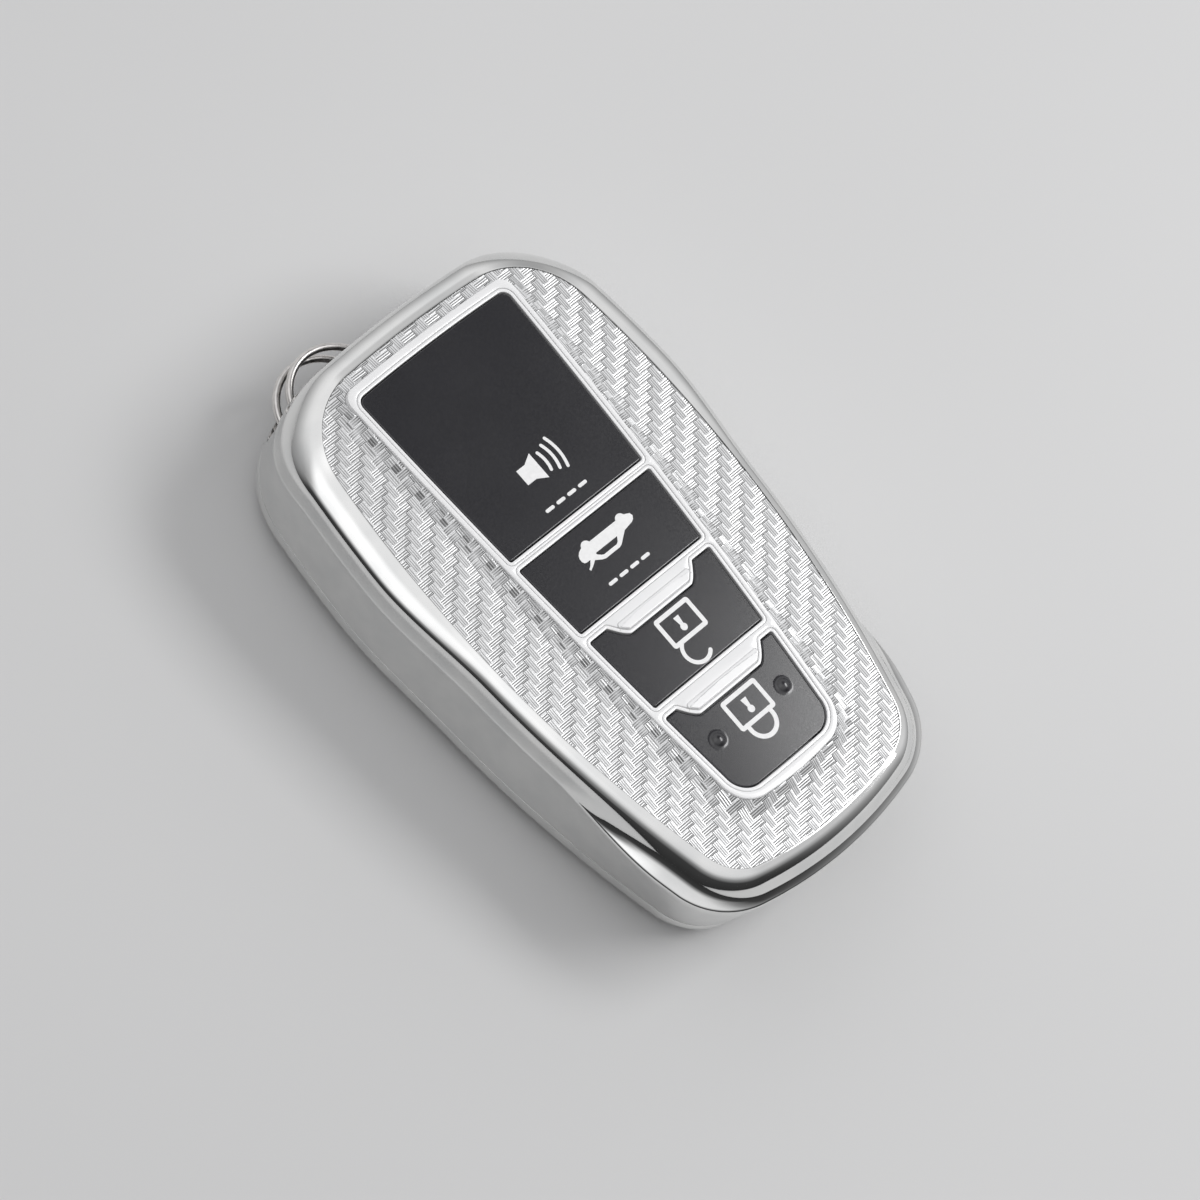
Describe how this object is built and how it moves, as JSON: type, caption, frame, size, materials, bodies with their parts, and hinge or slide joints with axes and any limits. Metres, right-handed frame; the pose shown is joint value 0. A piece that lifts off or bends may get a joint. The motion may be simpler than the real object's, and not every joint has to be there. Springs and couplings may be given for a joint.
{
  "type": "key fob cover",
  "caption": "Two-shell cover for a car key fob, with a bright rim, a twill-pattern front panel, press buttons in a raised frame and a split ring in a slot at its end.",
  "frame": {"origin": "the middle of the flat rear face, on the face that the cover lies on", "axes": "+X across the width towards the side with the split ring, +Y along the length towards the narrow end with the lock button, +Z out of the front face"},
  "size_m": [0.048, 0.0815, 0.0183],
  "materials": {
    "chrome_shell": "bright plated plastic, mirror polished",
    "twill_panel": "silver film with a fine raised twill relief",
    "frame": "bright silver-white, smooth",
    "button": "satin charcoal with white printed marks",
    "mat": "plain silicone",
    "steel": "nickel-plated steel wire"
  },
  "bodies": {
    "rear": {"rear_shell": "chrome_shell", "rear_panel": "twill_panel", "ring_post": "steel"},
    "cover": {"front_shell": "chrome_shell", "front_panel": "twill_panel", "button_frame": "frame", "button_mat": "mat"},
    "panic": {"panic_button": "button"},
    "trunk": {"trunk_button": "button"},
    "unlock": {"unlock_button": "button"},
    "lock": {"lock_button": "button"},
    "ring": {"split_ring": "steel"}
  },
  "joints": [
    {"name": "cover_lift", "type": "slide", "parent": "rear", "child": "cover", "axis": [0, 0, 1], "range_m": [0, 0.024]},
    {"name": "panic_press", "type": "slide", "parent": "cover", "child": "panic", "axis": [0, 0, -1], "range_m": [0, 0.00045], "stiffness_N_per_m": 600},
    {"name": "trunk_press", "type": "slide", "parent": "cover", "child": "trunk", "axis": [0, 0, -1], "range_m": [0, 0.00045], "stiffness_N_per_m": 600},
    {"name": "unlock_press", "type": "slide", "parent": "cover", "child": "unlock", "axis": [0, 0, -1], "range_m": [0, 0.00045], "stiffness_N_per_m": 600},
    {"name": "lock_press", "type": "slide", "parent": "cover", "child": "lock", "axis": [0, 0, -1], "range_m": [0, 0.00045], "stiffness_N_per_m": 600},
    {"name": "ring_swing", "type": "hinge", "parent": "rear", "child": "ring", "pos_m": [0.0089, -0.03025, 0.0082], "axis": [0, 0, 1], "range_deg": [-8, 8]}
  ]
}
